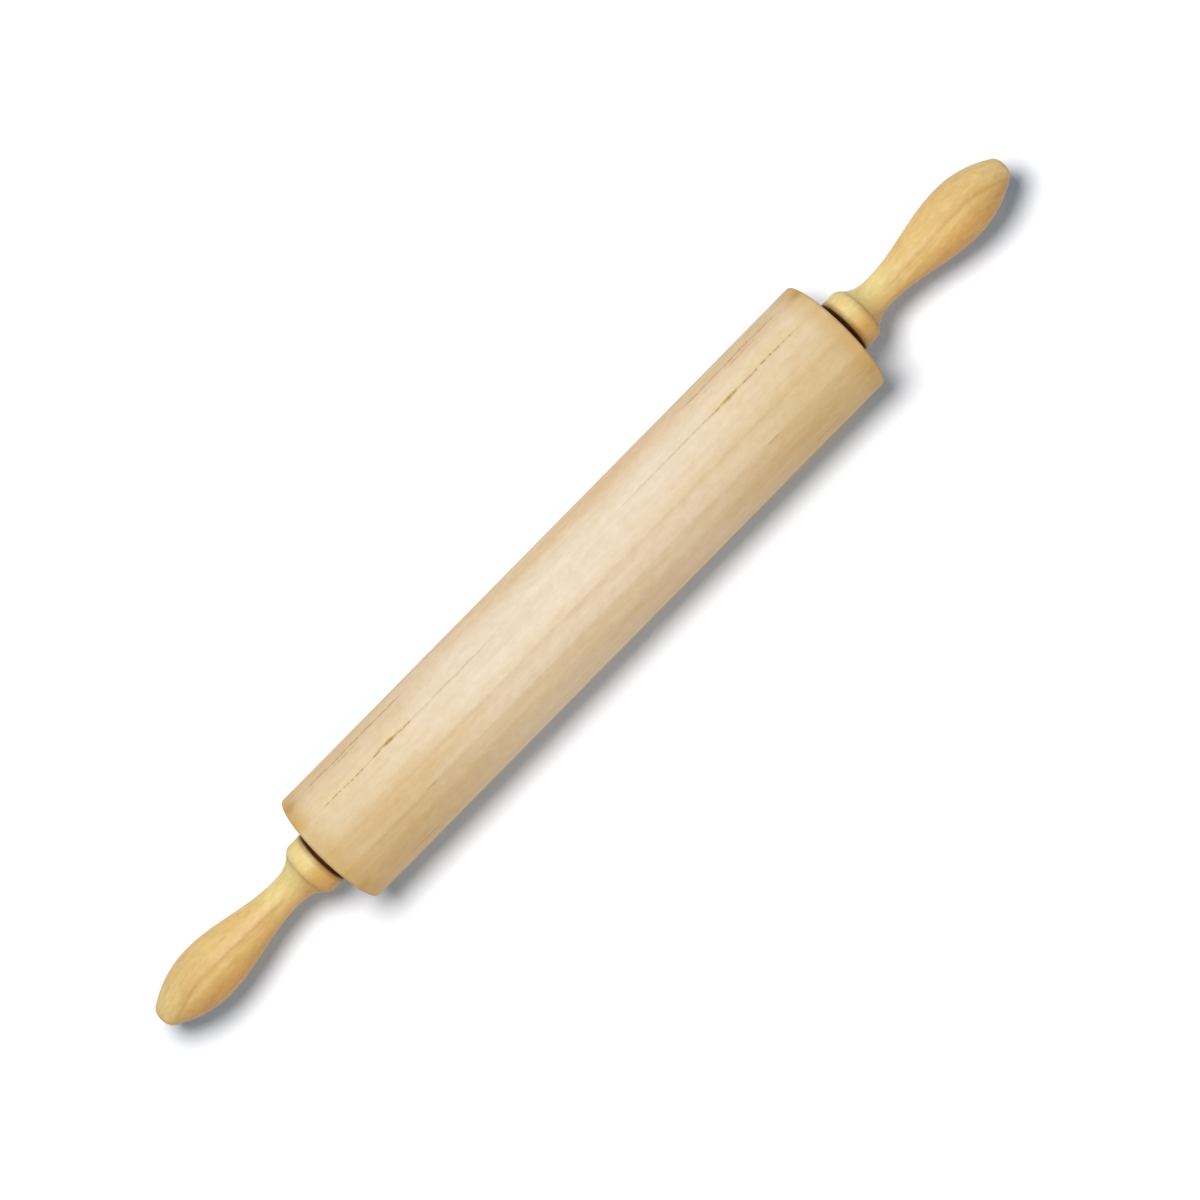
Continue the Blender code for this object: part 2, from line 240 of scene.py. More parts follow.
# Turn from the top in degrees, half width, nearest and furthest reach from the middle, fade, strength, gaps.
# A nearest reach below 0 is for a line that goes on through the middle.
BARREL_MARKS = [
    (-27.3, 0.00090, 0.018, 0.160, 0.040, 0.33, 0.5),
    (-27.3, 0.00075, 0.080, 0.142, 0.010, 0.72, 0.8),
    (-28.0, 0.00130, 0.088, 0.110, 0.011, 0.95, 0.3),
    (-57.0, 0.00110, 0.080, 0.142, 0.008, 0.56, 0.6),
    (-52.3, 0.00080, 0.106, 0.128, 0.006, 0.42, 0.7),
    (5.4, 0.00140, -0.05, 0.115, 0.030, 0.07, 0.9),
    (24.6, 0.00070, 0.093, 0.106, 0.006, 0.48, 0.7),
    (63.7, 0.00055, 0.108, 0.131, 0.007, 0.60, 0.6),
    (-58.0, 0.00500, 0.1440, 0.160, 0.006, 0.38, 0.0),
    (45.0, 0.00350, 0.1430, 0.160, 0.006, 0.18, 0.0),
]
# Stains round the main streak, with the same seven values
BARREL_STAINS = [
    (-30.0, 0.00420, 0.084, 0.112, 0.010, 0.85, 0.2),
    (-30.5, 0.00380, 0.098, 0.152, 0.012, 0.40, 0.3),
]

# The handles' wood, with the turn from its top towards its front that leads to the tree's bark
HANDLE_BARK_TURN = math.radians(83)
HANDLE_HEART_DISTANCE = 0.12
HANDLE_WANDER = 0.0006
HANDLE_YELLOW = srgb(239, 220, 154)
HANDLE_TAN = srgb(231, 199, 134)
# The deep colour, partly the wood's tone and partly painted shade on the front
HANDLE_DEEP_AND_SHADE = srgb(214, 170, 99)
HANDLE_GRAIN = (0.84, 0.78, 0.66, 1.0)
# Painted light: the lighter colour of the nose
HANDLE_NOSE_LIGHT = srgb(244, 214, 150)
# The colour of the dark lines in the wood, and of the painted shade in the crease
HANDLE_LINE_AND_CREASE_SHADE = srgb(150, 98, 46)
# Painted shade on the edge of the collar's face next to the gap
HANDLE_GAP_SHADE = srgb(104, 62, 24)
HANDLE_END_GRAIN = srgb(222, 192, 152)
HANDLE_END_RINGS = 1300.0
HANDLE_FIBRES = (45.0, 1700.0, 3.0, 0.6)
HANDLE_ROUGHNESS = 0.5
HANDLE_FIBRE_ROUGHNESS = 0.05
HANDLE_SPECULAR = 0.4
HANDLE_BUMP = 0.000025
# The growth rings bend towards the nose, and its front keeps the deep colour with its painted shade. The nose
# is lighter, which is painted light
HANDLE_BEND = (0.225, 0.262, 0.0, -0.0055)
HANDLE_FRONT_SHADE_RINGS = (0.0035, 0.0080, 0.0, 0.85)
HANDLE_FRONT_SHADE_REACH = (0.222, 0.242, 0.0, 1.0)
HANDLE_NOSE_LIGHT_REACH = (0.230, 0.250, 0.0, 1.0)
# The neck and collar are yellower, and the deep colour there, partly painted shade, goes from the back to the
# front
HANDLE_NECK_REACH = (0.178, 0.196, 1.0, 0.0)
HANDLE_NECK_RINGS = (-0.004, 0.012, 0.0, 1.0)
HANDLE_COLLAR_REACH = (0.166, 0.170, 0.06, 0.0)
# Painted shade with some pooled varnish in the crease behind the collar, by the distance from it, and painted
# shade on the edge of the collar's face next to the gap
HANDLE_CREASE_SHADE_STEP = (0.0, 0.0014, 0.14, 0.0)
HANDLE_GAP_SHADE_STEP = (COLLAR_FACE - 0.0004, COLLAR_FACE + 0.0032, 0.72, 0.0)
# Lines along the growth rings and streaks, as for the barrel
HANDLE_RING_LINES = (14.0, 700.0, 0.20)
HANDLE_STREAKS = [
    (16.0, 220.0, 3.0, 0.5, 0.22),
    (220.0, 480.0, 3.0, 0.6, 0.80),
    (90.0, 150.0, 2.0, 0.5, 0.50),
]
# The share of the deep colour in each growth ring, from the handle's back (0) to its front (1). The bands are
# in the wood, and the larger share towards the front is partly painted shade
HANDLE_BAND_WIDTH = 0.03
HANDLE_BANDS_AND_SHADE = [
    (0.10, 0.15),
    (0.36, 0.00),
    (0.45, 0.08),
    (0.52, 0.35),
    (0.58, 0.65),
    (0.61, 0.30),
    (0.665, 0.15),
    (0.74, 0.65),
    (0.82, 1.00),
]
# Place across the rings, half width, nearest and furthest reach from the middle, fade, strength, gaps
HANDLE_MARKS = [
    (0.00255, 0.00140, 0.176, 0.262, 0.012, 0.19, 0.5),
    (0.0043, 0.00130, 0.184, 0.214, 0.010, 0.13, 0.3),
    (0.0064, 0.00080, 0.205, 0.262, 0.012, 0.12, 0.8),
    (-0.0035, 0.00080, 0.205, 0.262, 0.012, 0.10, 0.8),
]

# Metals and plastics: two colours, roughness, metallic, turning marks per metre, their depth and specular
FINISHES = {
    "steel": (srgb(198, 199, 202), srgb(176, 177, 182), 0.3, 1.0, 4000.0, 0.000004, 0.5),
    "bearing_steel": (srgb(214, 215, 219), srgb(196, 197, 203), 0.16, 1.0, 5000.0, 0.000002, 0.5),
    "spring_steel": (srgb(92, 90, 90), srgb(70, 68, 70), 0.4, 1.0, 2500.0, 0.000005, 0.5),
    "brass": (srgb(214, 178, 104), srgb(190, 150, 82), 0.3, 1.0, 3500.0, 0.000004, 0.5),
    "dark_plastic": (srgb(88, 40, 10), srgb(58, 24, 5), 0.75, 0.0, 900.0, 0.00002, 0.1),
    "cage_plastic": (srgb(222, 214, 196), srgb(206, 196, 172), 0.45, 0.0, 900.0, 0.00001, 0.5),
}
TURNING_STRETCH = 0.04
TURNING_DETAIL = 3.0
TURNING_ROUGHNESS = 0.6
MOTTLING_SCALE = (220.0, 220.0, 220.0)
MOTTLING_STEP = (0.7, 1.3, 0.0, 1.0)
# Of the roughness above, on the smoothest and on the roughest spots
SMOOTHEST_SHARE = 0.75
ROUGHEST_SHARE = 1.25

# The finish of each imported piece, by a part of its name. The first that fits is taken.
PIECE_FINISHES = {
    "axle_rod": "steel",
    "lock_nut": "steel",
    "handle_insert": "brass",
    "retaining_clip": "spring_steel",
    "bearing_cage": "cage_plastic",
    "bearing_": "bearing_steel",
}


def arc(along, radius, reach, start, end, steps):
    """Points of an arc of size reach about (along, radius), from one angle to another in degrees."""
    angles = [math.radians(start + (end - start) * step / steps) for step in range(steps + 1)]
    return [(along + reach * math.cos(a), radius + reach * math.sin(a)) for a in angles]


def number_faces(shape):
    """Puts the faces in the order of their points, because a spin leaves them in another order each run."""
    shape.verts.index_update()
    in_order = sorted(shape.faces, key=lambda face: [vertex.index for vertex in face.verts])
    for number, face in enumerate(in_order):
        face.index = number
    shape.faces.sort()


def turned_piece(name, outline, sides, holed, facing=1):
    """A solid turned about the pin's axis from (along, radius) points, facing right or left.

    The outline of a holed piece closes on itself, and that of another starts and ends on the axis.
    """
    shape = bmesh.new()
    points = [shape.verts.new((facing * x, 0.0, AXIS_HEIGHT + radius)) for x, radius in outline]
    ends = points[1:] + points[:1] if holed else points[1:]
    edges = [shape.edges.new(pair) for pair in zip(points, ends)]
    bmesh.ops.spin(
        shape,
        geom=points + edges,
        cent=(0.0, 0.0, AXIS_HEIGHT),
        axis=(1.0, 0.0, 0.0),
        angle=2 * math.pi,
        steps=sides,
    )
    bmesh.ops.remove_doubles(shape, verts=shape.verts, dist=WELD_DISTANCE)
    bmesh.ops.recalc_face_normals(shape, faces=shape.faces)
    number_faces(shape)
    mesh = bpy.data.meshes.new(name)
    shape.to_mesh(mesh)
    shape.free()
    mesh.shade_smooth()
    mesh.set_sharp_from_angle(angle=SMOOTH_ANGLE)
    piece = bpy.data.objects.new(name, mesh)
    bpy.context.scene.collection.objects.link(piece)
    return piece


def barrel_outline():
    """From the barrel's middle over its right end and through its bore to its left end."""
    rim = BARREL_END - BARREL_EDGE_ROUND
    shoulder = BARREL_RADIUS - BARREL_EDGE_ROUND
    right_half = [
        *((place, BARREL_RADIUS) for place in BARREL_RING_PLACES),
        *arc(rim, shoulder, BARREL_EDGE_ROUND, 90, 0, EDGE_STEPS),
        (BARREL_END, (BARREL_RADIUS + SEAT_RADIUS) / 2),
        (BARREL_END, SEAT_RADIUS),
        (SEAT_BOTTOM, SEAT_RADIUS),
        (SEAT_BOTTOM, RELIEF_RADIUS),
        (RELIEF_BOTTOM, RELIEF_RADIUS),
        (RELIEF_BOTTOM, BORE_RADIUS),
    ]
    left_half = [(-x, radius) for x, radius in reversed(right_half)]
    return right_half + left_half + [(0.0, BARREL_RADIUS)]


def spacer_outline():
    """A thin hub against the bearing, and a wide round-edged disc with its hole for the axle."""
    edge = SPACER_EDGE
    outline = [
        (SPACER_BACK, AXLE_HOLE_RADIUS),
        (SPACER_BACK, SPACER_HUB_RADIUS),
        (SPACER_START, SPACER_HUB_RADIUS),
        *arc(SPACER_START + edge, SPACER_RADIUS - edge, edge, 180, 90, SPACER_EDGE_STEPS),
        *arc(SPACER_FRONT - edge, SPACER_RADIUS - edge, edge, 90, 0, SPACER_EDGE_STEPS),
        (SPACER_FRONT, AXLE_HOLE_RADIUS),
    ]
    return [(BARREL_END + x, radius) for x, radius in outline]


def handle_outside():
    """A round-edged collar with a crease behind it, a cove to the neck, a swell, a nose and a tip."""
    neck_place = COLLAR_LENGTH + COVE_LENGTH
    belly_place = neck_place + SWELL_LENGTH
    tip_radius = TIP_FLAT_RADIUS + TIP_ROUND * math.sin(math.radians(TIP_ANGLE))
    tip_middle = belly_place + NOSE_LENGTH - TIP_ROUND * math.cos(math.radians(TIP_ANGLE))
    face_shoulder = COLLAR_RADIUS - COLLAR_FACE_ROUND
    outline = arc(COLLAR_FACE_ROUND, face_shoulder, COLLAR_FACE_ROUND, 180, 90, EDGE_STEPS)
    round_middle = COLLAR_LENGTH - COLLAR_ROUND * math.cos(math.radians(CREASE_ANGLE))
    outline += arc(round_middle, COLLAR_RADIUS - COLLAR_ROUND, COLLAR_ROUND, 90, CREASE_ANGLE, COLLAR_STEPS)
    for step in range(COVE_STEPS):
        share = step / COVE_STEPS
        rise = (COVE_RADIUS - NECK_RADIUS) * (1 - share) ** COVE_POWER
        outline.append((COLLAR_LENGTH + COVE_LENGTH * share, NECK_RADIUS + rise))
    for step in range(SWELL_STEPS):
        share = step / SWELL_STEPS
        rise = (BELLY_RADIUS - NECK_RADIUS) * (1 - math.cos(math.pi * share)) / 2
        outline.append((neck_place + SWELL_LENGTH * share, NECK_RADIUS + rise))
    for step in range(NOSE_STEPS):
        share = step / NOSE_STEPS
        drop = (BELLY_RADIUS - tip_radius) * share**NOSE_POWER
        outline.append((belly_place + NOSE_LENGTH * share, BELLY_RADIUS - drop))
    outline += arc(tip_middle, TIP_FLAT_RADIUS, TIP_ROUND, TIP_ANGLE, 0, TIP_STEPS)
    outline.append((tip_middle + TIP_ROUND, 0.0))
    return outline


def handle_outline():
    """The axle's blind hole, the hole for the insert and the recess for the nut, and then the outside."""
    inside = [
        (AXLE_HOLE_DEPTH, 0.0),
        (AXLE_HOLE_DEPTH, AXLE_HOLE_RADIUS),
        (INSERT_HOLE_DEPTH, AXLE_HOLE_RADIUS),
        (INSERT_HOLE_DEPTH, INSERT_HOLE_RADIUS),
        (NUT_RECESS_DEPTH, INSERT_HOLE_RADIUS),
        (NUT_RECESS_DEPTH, NUT_RECESS_RADIUS),
        (0.0, NUT_RECESS_RADIUS),
    ]
    return [(COLLAR_FACE + x, radius) for x, radius in inside + handle_outside()]


class Nodes:
    """A node tree, with one short call for each kind of node."""

    def __init__(self, tree):
        self.nodes = tree.nodes
        self.links = tree.links

    def put(self, socket, value):
        """Links a node's output to the socket, or writes a plain value on it."""
        if isinstance(value, bpy.types.NodeSocket):
            self.links.new(value, socket)
        else:
            socket.default_value = value

    def node(self, kind, values=(), **settings):
        node = self.nodes.new("ShaderNode" + kind)
        for setting, value in settings.items():
            setattr(node, setting, value)
        for socket, value in zip(node.inputs, values):
            self.put(socket, value)
        return node

    def math(self, operation, *values):
        return self.node("Math", values, operation=operation).outputs[0]

    def add(self, first, second):
        return self.math("ADD", first, second)

    def times(self, first, second):
        return self.math("MULTIPLY", first, second)

    def smooth(self, value, low, high, start=0.0, end=1.0):
        """A soft step from start to end as the value goes from low to high."""
        values = (value, low, high, start, end)
        return self.node("MapRange", values, interpolation_type="SMOOTHSTEP").outputs[0]

    def noise(self, vector, detail=2.0, rough=0.5):
        node = self.node("TexNoise")
        self.put(node.inputs["Vector"], vector)
        self.put(node.inputs["Scale"], 1.0)
        self.put(node.inputs["Detail"], detail)
        self.put(node.inputs["Roughness"], rough)
        return node.outputs[0]

    def scaled(self, vector, *scale):
        return self.node("VectorMath", (vector, scale), operation="MULTIPLY").outputs[0]

    def mix(self, share, first, second, kind="MIX"):
        node = self.node("Mix", data_type="RGBA", blend_type=kind)
        self.put(node.inputs[0], share)
        self.put(node.inputs[6], first)
        self.put(node.inputs[7], second)
        return node.outputs[2]

    def ramp(self, value, stops):
        """A share that follows (place, share) stops, between 0 and 1."""
        node = self.node("ValToRGB", (value,))
        elements = node.color_ramp.elements
        while len(elements) < len(stops):
            elements.new(1.0)
        for element, (place, share) in zip(elements, stops):
            element.position = place
            element.color = (share, share, share, 1.0)
        return node.outputs[0]

    def seen_directly(self):
        """1 where the camera, a reflection or a clear material sees the surface, and 0 for its light."""
        rays = self.node("LightPath").outputs
        seen = self.math("MAXIMUM", rays["Is Camera Ray"], rays["Is Glossy Ray"])
        return self.math("MAXIMUM", seen, rays["Is Transmission Ray"])


class Finish(Nodes):
    """A material, with calls for its surface."""

    def __init__(self, name):
        self.material = bpy.data.materials.new(name)
        self.material.use_nodes = True
        super().__init__(self.material.node_tree)
        self.surface = self.nodes["Principled BSDF"]

    def set(self, name, value):
        self.put(self.surface.inputs[name], value)

    def bump(self, height, depth):
        node = self.node("Bump")
        self.put(node.inputs["Strength"], 1.0)
        self.put(node.inputs["Distance"], depth)
        self.put(node.inputs["Height"], height)
        self.set("Normal", node.outputs[0])


class Wood(Finish):
    """Solid wood whose fibres run along X, with its places measured from the pin's axis.

    The measure called ring grows from the tree's heart to its bark, and is 0 at the pin's axis.
    """

    def __init__(self, name, bark_turn, heart_distance, wander):
        super().__init__(name)
        coordinates = self.node("TexCoord").outputs
        lift = (0.0, 0.0, -AXIS_HEIGHT)
        self.place = self.node("VectorMath", (coordinates["Object"], lift), operation="ADD").outputs[0]
        self.along, self.back, self.height = self.node("SeparateXYZ", (self.place,)).outputs
        self.reach = self.math("ABSOLUTE", self.along)
        to_bark = Vector((0.0, -math.sin(bark_turn), math.cos(bark_turn))) * heart_distance
        across = self.scaled(self.place, 0.0, 1.0, 1.0)
        from_heart = self.node("VectorMath", (across, to_bark), operation="ADD").outputs[0]
        length = self.node("VectorMath", (from_heart,), operation="LENGTH").outputs["Value"]
        drift = self.times(self.streaks(*RING_DRIFT), wander)
        ripple = self.times(self.streaks(*RING_RIPPLE), wander * RING_RIPPLE_SHARE)
        self.ring = self.add(self.add(length, -heart_distance), self.add(drift, ripple))
        normal = self.node("SeparateXYZ", (coordinates["Normal"],)).outputs[0]
        self.end_grain = self.smooth(self.math("ABSOLUTE", normal), *END_GRAIN_TILT)
        self.side_grain = self.math("SUBTRACT", 1.0, self.end_grain)

    def bands(self, width, stops):
        """A share that follows the growth rings across the width, with stops from 0 to 1."""
        return self.ramp(self.math("MULTIPLY_ADD", self.ring, 1 / width, 0.5), stops)

    def streaks(self, along, across, detail, rough):
        """Noise drawn out along the fibres, from -1 to 1."""
        value = self.noise(self.scaled(self.place, along, across, across), detail, rough)
        return self.times(self.add(value, -0.5), 2.0)

    def ring_noise(self, along, across):
        """Noise that follows the growth rings, from -1 to 1."""
        vector = self.node("CombineXYZ", (self.times(self.along, along), self.times(self.ring, across), 0.0))
        return self.times(self.add(self.noise(vector.outputs[0]), -0.5), 2.0)

    def end_rings(self, across):
        """A share that follows the growth rings, on the faces that cut across the fibres."""
        rings = self.smooth(self.ring_noise(0.0, across), *END_RING_STEP)
        return self.times(rings, self.end_grain)

    def grained(self, colour, tint, ring_lines, streaks, fibres):
        """The colour tinted where the lines along the growth rings, the streaks and the fibres are strong."""
        *shape, share = ring_lines
        total = self.math("MULTIPLY_ADD", self.ring_noise(*shape), share, GRAIN_MIDDLE)
        for *noise, share in streaks:
            total = self.math("MULTIPLY_ADD", self.streaks(*noise), share, total)
        total = self.math("MULTIPLY_ADD", fibres, FIBRE_SHARE, total)
        return self.mix(total, colour, tint, "MULTIPLY")

    def mark(self, across, centre, half_width, start, end, fade, strength, gaps):
        """One dark line along the fibres, the same on both sides of the pin's middle."""
        wobble = self.add(self.noise(self.scaled(self.place, *MARK_WOBBLE_SCALE), MARK_DETAIL), -0.5)
        wobble = self.times(wobble, half_width * MARK_WOBBLE_SHARE)
        offset = self.math("ABSOLUTE", self.add(self.add(across, wobble), -centre))
        inner = self.smooth(self.reach, start, start + fade)
        outer = self.smooth(self.reach, end - fade, end, 1.0, 0.0)
        span = self.times(inner, outer)
        end_width = half_width * MARK_END_WIDTH
        width = self.math("MULTIPLY_ADD", span, half_width - end_width, end_width)
        line = self.smooth(self.math("DIVIDE", offset, width), 0.0, 1.0, 1.0, 0.0)
        dashes = self.noise(self.scaled(self.place, *MARK_DASH_SCALE), MARK_DETAIL, MARK_DASH_ROUGHNESS)
        dashes = self.smooth(dashes, *MARK_DASH_STEP, 1.0 - gaps, 1.0)
        return self.times(self.times(line, span), self.times(dashes, strength))

    def marked(self, across, marks, darkness):
        """The darkness raised to the strongest of these lines."""
        for mark in marks:
            darkness = self.math("MAXIMUM", self.mark(across, *mark), darkness)
        return darkness

    def marked_round(self, marks, darkness):
        """The same for lines on the barrel, whose first value is a turn from its top in degrees."""
        turn = self.math("ARCTAN2", self.times(self.back, -1.0), self.height)
        placed = [(BARREL_RADIUS * math.radians(degrees), *shape) for degrees, *shape in marks]
        return self.marked(self.times(turn, BARREL_RADIUS), placed, darkness)

    def finished(self, colour, fibres, roughness, change, specular):
        """The material with this colour, whose fibres change its roughness a little."""
        self.set("Base Color", colour)
        self.set("Roughness", self.math("MULTIPLY_ADD", fibres, change, roughness))
        self.set("Specular IOR Level", specular)
        return self.material


def yellowed(wood, colour):
    """The barrel's colour, aged towards its ends and with a yellow rim at the very end."""
    aged = wood.times(wood.smooth(wood.ring, *BARREL_AGED_RINGS), wood.side_grain)
    aged = wood.times(wood.smooth(wood.reach, *BARREL_AGED_REACH), aged)
    colour = wood.mix(aged, colour, BARREL_AGED, "MULTIPLY")
    patches = wood.smooth(wood.streaks(*BARREL_RIM_PATCHES), *BARREL_RIM_PATCH_STEP)
    taken = wood.times(wood.bands(BARREL_BAND_WIDTH, BARREL_RIM_BANDS), patches)
    rim = wood.times(wood.smooth(wood.reach, *BARREL_RIM_REACH), taken)
    return wood.mix(wood.times(rim, wood.side_grain), colour, BARREL_RIM)


def barrel_material():
    """Pale cream wood with a few thin brown streaks and flecks, yellower towards its ends, and tanner on its
    front, which is partly painted shade.
    """
    wood = Wood("barrel_wood", BARREL_BARK_TURN, BARREL_HEART_DISTANCE, BARREL_WANDER)
    fibres = wood.streaks(*BARREL_FIBRES)
    # Tan growth-ring bands, whose larger share on the front half is partly painted shade
    colour = wood.mix(wood.bands(BARREL_BAND_WIDTH, BARREL_BANDS_AND_SHADE), BARREL_PALE, BARREL_TAN_AND_SHADE)
    colour = wood.grained(colour, BARREL_GRAIN, BARREL_RING_LINES, BARREL_STREAKS, fibres)
    for tint, noise, step in BARREL_TINTS:
        colour = wood.mix(wood.smooth(wood.streaks(*noise), *step), colour, tint, "MULTIPLY")
    colour = yellowed(wood, colour)
    stain = wood.times(wood.marked_round(BARREL_STAINS, 0.0), wood.side_grain)
    colour = wood.mix(stain, colour, BARREL_STAIN, "MULTIPLY")
    darkness = wood.marked_round(BARREL_MARKS, wood.smooth(wood.reach, *BARREL_EDGE_STEP))
    colour = wood.mix(wood.times(darkness, wood.side_grain), colour, BARREL_BROWN)
    colour = wood.mix(wood.end_rings(BARREL_END_RINGS), colour, BARREL_END_GRAIN, "MULTIPLY")
    wood.bump(wood.math("MULTIPLY_ADD", darkness, BARREL_MARK_SINK, fibres), BARREL_BUMP)
    return wood.finished(colour, fibres, BARREL_ROUGHNESS, BARREL_FIBRE_ROUGHNESS, BARREL_SPECULAR)


def deep_and_shaded_share(wood, neck, front):
    """How much of the deep colour the handle has, from the shares that make up its neck and its front. The
    deep colour is partly the wood's tone and partly painted shade on the front.
    """
    collar = wood.smooth(wood.reach, *HANDLE_COLLAR_REACH)
    across_neck = wood.add(wood.smooth(wood.ring, *HANDLE_NECK_RINGS), collar)
    deep = wood.mix(neck, wood.bands(HANDLE_BAND_WIDTH, HANDLE_BANDS_AND_SHADE), across_neck)
    front = wood.times(front, wood.smooth(wood.reach, *HANDLE_FRONT_SHADE_REACH))
    return wood.math("MAXIMUM", deep, front)


def handle_material():
    """Smooth tan wood, yellower at its collar and neck, with a soft brown line along its top. Its deeper
    front is partly painted shade, its lighter nose is painted light, and its crease and the edge of its
    collar's face carry painted shade.
    """
    wood = Wood("handle_wood", HANDLE_BARK_TURN, HANDLE_HEART_DISTANCE, HANDLE_WANDER)
    fibres = wood.streaks(*HANDLE_FIBRES)
    neck = wood.smooth(wood.reach, *HANDLE_NECK_REACH)
    front = wood.smooth(wood.ring, *HANDLE_FRONT_SHADE_RINGS)
    wood.ring = wood.add(wood.ring, wood.smooth(wood.reach, *HANDLE_BEND))
    shallow = wood.mix(neck, HANDLE_TAN, HANDLE_YELLOW)
    # Painted light: the nose is lighter towards its tip
    shallow = wood.mix(wood.smooth(wood.reach, *HANDLE_NOSE_LIGHT_REACH), shallow, HANDLE_NOSE_LIGHT)
    # The deep colour is partly the wood's tone and partly painted shade on the handle's front
    colour = wood.mix(deep_and_shaded_share(wood, neck, front), shallow, HANDLE_DEEP_AND_SHADE)
    colour = wood.grained(colour, HANDLE_GRAIN, HANDLE_RING_LINES, HANDLE_STREAKS, fibres)
    # The dark lines are in the wood, and the crease's darkening is painted shade with some pooled varnish
    from_crease = wood.math("ABSOLUTE", wood.add(wood.reach, -COLLAR_FACE - COLLAR_LENGTH))
    darkness = wood.marked(wood.ring, HANDLE_MARKS, wood.smooth(from_crease, *HANDLE_CREASE_SHADE_STEP))
    colour = wood.mix(darkness, colour, HANDLE_LINE_AND_CREASE_SHADE)
    # Painted shade on the edge of the collar's face next to the gap
    colour = wood.mix(wood.smooth(wood.reach, *HANDLE_GAP_SHADE_STEP), colour, HANDLE_GAP_SHADE)
    colour = wood.mix(wood.end_rings(HANDLE_END_RINGS), colour, HANDLE_END_GRAIN, "MULTIPLY")
    wood.bump(fibres, HANDLE_BUMP)
    return wood.finished(colour, fibres, HANDLE_ROUGHNESS, HANDLE_FIBRE_ROUGHNESS, HANDLE_SPECULAR)


def plain_material(name):
    """Metal or plastic with faint mottling and fine turning marks round the axis."""
    colour, other, roughness, metallic, scale, depth, specular = FINISHES[name]
    finish = Finish(name)
    place = finish.node("TexCoord").outputs["Object"]
    turning = finish.scaled(place, scale, scale * TURNING_STRETCH, scale * TURNING_STRETCH)
    lines = finish.noise(turning, TURNING_DETAIL, TURNING_ROUGHNESS)
    patches = finish.noise(finish.scaled(place, *MOTTLING_SCALE))
    share = finish.smooth(finish.add(lines, patches), *MOTTLING_STEP)
    smoothest = roughness * SMOOTHEST_SHARE
    change = roughness * ROUGHEST_SHARE - smoothest
    finish.set("Base Color", finish.mix(share, colour, other))
    finish.set("Metallic", metallic)
    finish.set("Roughness", finish.math("MULTIPLY_ADD", share, change, smoothest))
    finish.set("Specular IOR Level", specular)
    finish.bump(lines, depth)
    return finish.material


def add_piece(name, outline, sides, holed, facing, body, slot, material):
    """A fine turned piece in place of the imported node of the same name."""
    piece = turned_piece(name + "_fine", outline, sides, holed, facing)
    piece.data.materials.append(material)
    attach(piece, body)
    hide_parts(name)


def add_wood_and_spacers():
    """The barrel, both handles and both spacers."""
    add_piece("barrel", barrel_outline(), BARREL_SIDES, True, 1, "barrel", "barrel_wood", barrel_material())
    handle = (handle_outline(), HANDLE_SIDES, False)
    handle_wood = handle_material()
    spacer = (spacer_outline(), SPACER_SIDES, True)
    dark_plastic = plain_material("dark_plastic")
    for side, facing in (("right", 1), ("left", -1)):
        add_piece(f"{side}_handle", *handle, facing, "handles", "handle_wood", handle_wood)
        add_piece(f"{side}_spacer", *spacer, facing, "handles", "dark_plastic", dark_plastic)


def dress_inner_pieces():
    """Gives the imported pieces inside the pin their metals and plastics."""
    used = sorted(set(PIECE_FINISHES.values()))
    materials = {finish: plain_material(finish) for finish in used}
    for name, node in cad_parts.items():
        finishes = [finish for part, finish in PIECE_FINISHES.items() if part in name]
        if finishes:
            node.material_slots[0].material = materials[finishes[0]]


def under_barrel(finish):
    """1 on the floor where the barrel touches it, falling softly to 0 around that."""
    place = finish.node("TexCoord").outputs["Object"]
    parts = finish.node("SeparateXYZ", (place,)).outputs
    along = finish.smooth(finish.math("ABSOLUTE", parts[0]), *BELOW_ALONG)
    across = finish.smooth(finish.math("ABSOLUTE", parts[1]), *BELOW_ACROSS)
    return finish.times(along, across)


def add_floor():
    """A pale floor that keeps the pin's shadow, and is plain white to the camera where no shadow falls."""
    half = FLOOR_SIZE / 2
    shape = bmesh.new()
    corners = [(-half, -half), (half, -half), (half, half), (-half, half)]
    shape.faces.new([shape.verts.new((x, y, 0.0)) for x, y in corners])
    mesh = bpy.data.meshes.new("floor")
    shape.to_mesh(mesh)
    shape.free()
    floor = bpy.data.objects.new("floor", mesh)
    bpy.context.scene.collection.objects.link(floor)
    finish = Finish("floor")
    seen = finish.seen_directly()
    paint = finish.mix(seen, FLOOR_BOUNCE, FLOOR_PAINT)
    matt = finish.node("BsdfDiffuse", (paint,)).outputs[0]
    colour = finish.mix(under_barrel(finish), FLOOR_GLOW, FLOOR_GLOW_BELOW)
    glow = finish.node("Emission", (colour, seen)).outputs[0]
    both = finish.node("AddShader", (matt, glow)).outputs[0]
    finish.put(finish.nodes["Material Output"].inputs["Surface"], both)
    finish.nodes.remove(finish.surface)
    mesh.materials.append(finish.material)


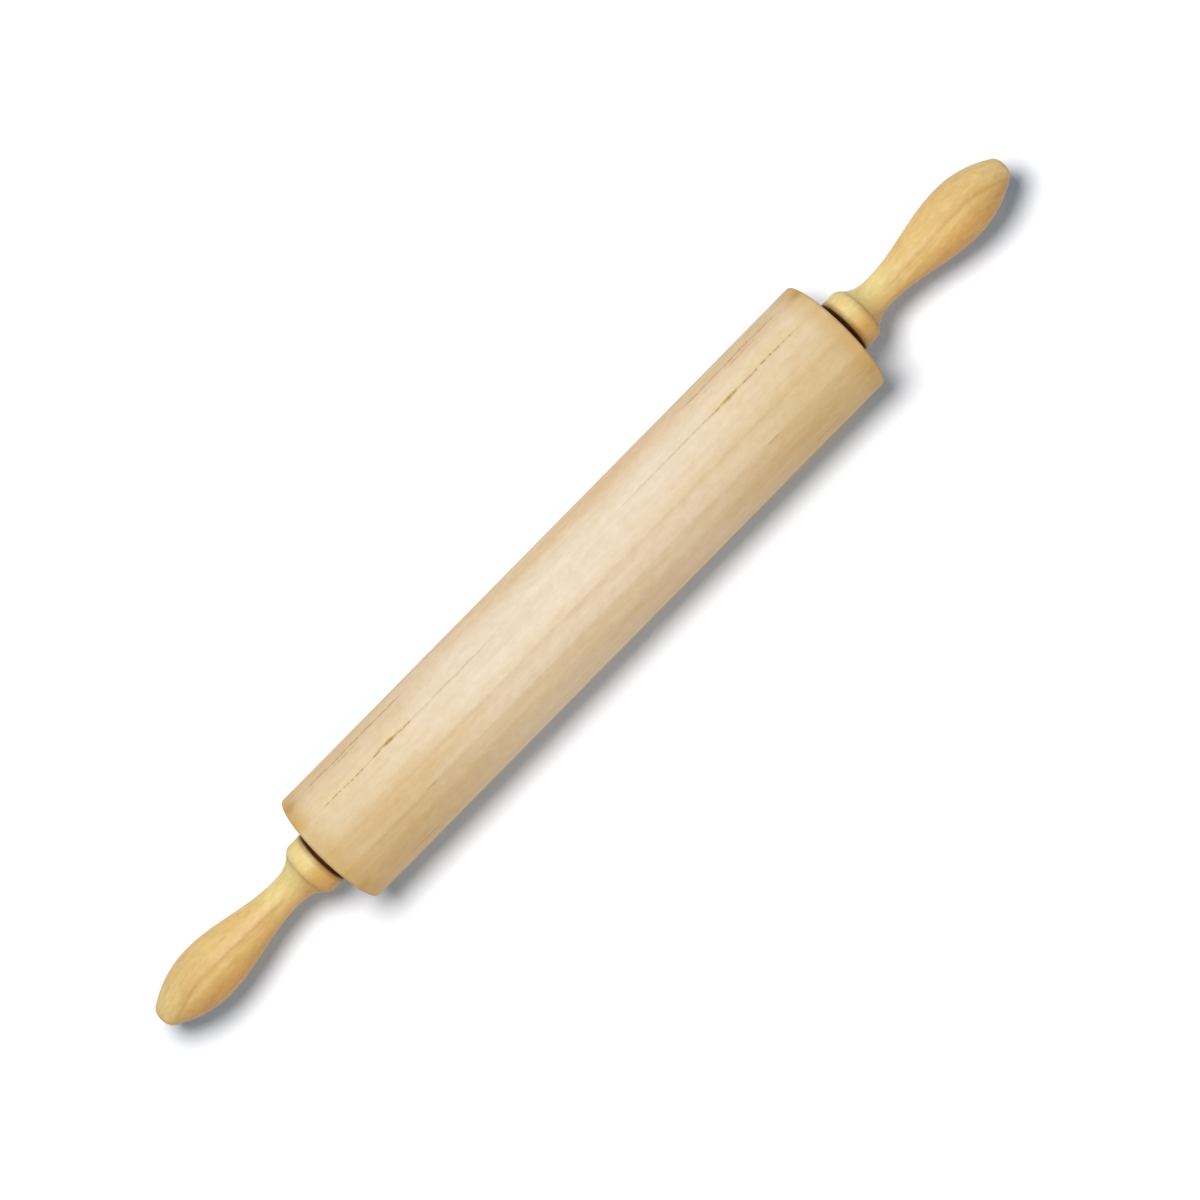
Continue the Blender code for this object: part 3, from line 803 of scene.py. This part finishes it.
def add_world():
    """Soft light from all round, with plain white behind the floor's edge."""
    world = bpy.data.worlds.new("studio")
    world.use_nodes = True
    bpy.context.scene.world = world
    tree = Nodes(world.node_tree)
    strength = tree.math("MULTIPLY_ADD", tree.seen_directly(), 1.0 - SKY_STRENGTH, SKY_STRENGTH)
    background = tree.nodes["Background"]
    tree.put(background.inputs["Color"], SKY_COLOUR)
    tree.put(background.inputs["Strength"], strength)


def add_key():
    """A round lamp beside the camera. Its light grows with distance, which keeps the whole floor even."""
    lamp = bpy.data.lights.new("key_light", "POINT")
    # A white floor under a lamp of this energy has the brightness KEY_STRENGTH
    lamp.energy = 4 * math.pi**2 * KEY_STRENGTH
    lamp.shadow_soft_size = KEY_RADIUS
    lamp.use_nodes = True
    tree = Nodes(lamp.node_tree)
    steady = tree.node("LightFalloff", (1.0,)).outputs["Constant"]
    slant = tree.math("DIVIDE", tree.node("LightPath").outputs["Ray Length"], KEY_PLACE[2])
    tree.put(tree.nodes["Emission"].inputs["Strength"], tree.times(steady, slant))
    key = bpy.data.objects.new("key_light", lamp)
    key.location = KEY_PLACE
    key.visible_camera = False
    bpy.context.scene.collection.objects.link(key)


def add_fill():
    """Warm light from low down in front, which hardly touches the floor."""
    lamp = bpy.data.lights.new("fill_light", "SUN")
    lamp.energy = math.pi * FILL_STRENGTH
    lamp.angle = FILL_SPREAD
    lamp.color = FILL_COLOUR
    fill = bpy.data.objects.new("fill_light", lamp)
    fill.rotation_euler = Vector(FILL_FROM).to_track_quat("Z", "Y").to_euler()
    bpy.context.scene.collection.objects.link(fill)


def add_camera():
    """A camera that looks straight down, turned so that the pin lies across the picture's corners."""
    lens = bpy.data.cameras.new("camera")
    lens.lens = CAMERA_LENS
    lens.sensor_width = SENSOR_WIDTH
    camera = bpy.data.objects.new("camera", lens)
    camera.location = CAMERA_PLACE
    camera.rotation_euler = (0.0, 0.0, CAMERA_TURN)
    bpy.context.scene.collection.objects.link(camera)
    bpy.context.scene.camera = camera


add_camera()
add_wood_and_spacers()
dress_inner_pieces()
add_floor()
add_world()
add_key()
add_fill()
bpy.context.scene.view_settings.view_transform = "Standard"
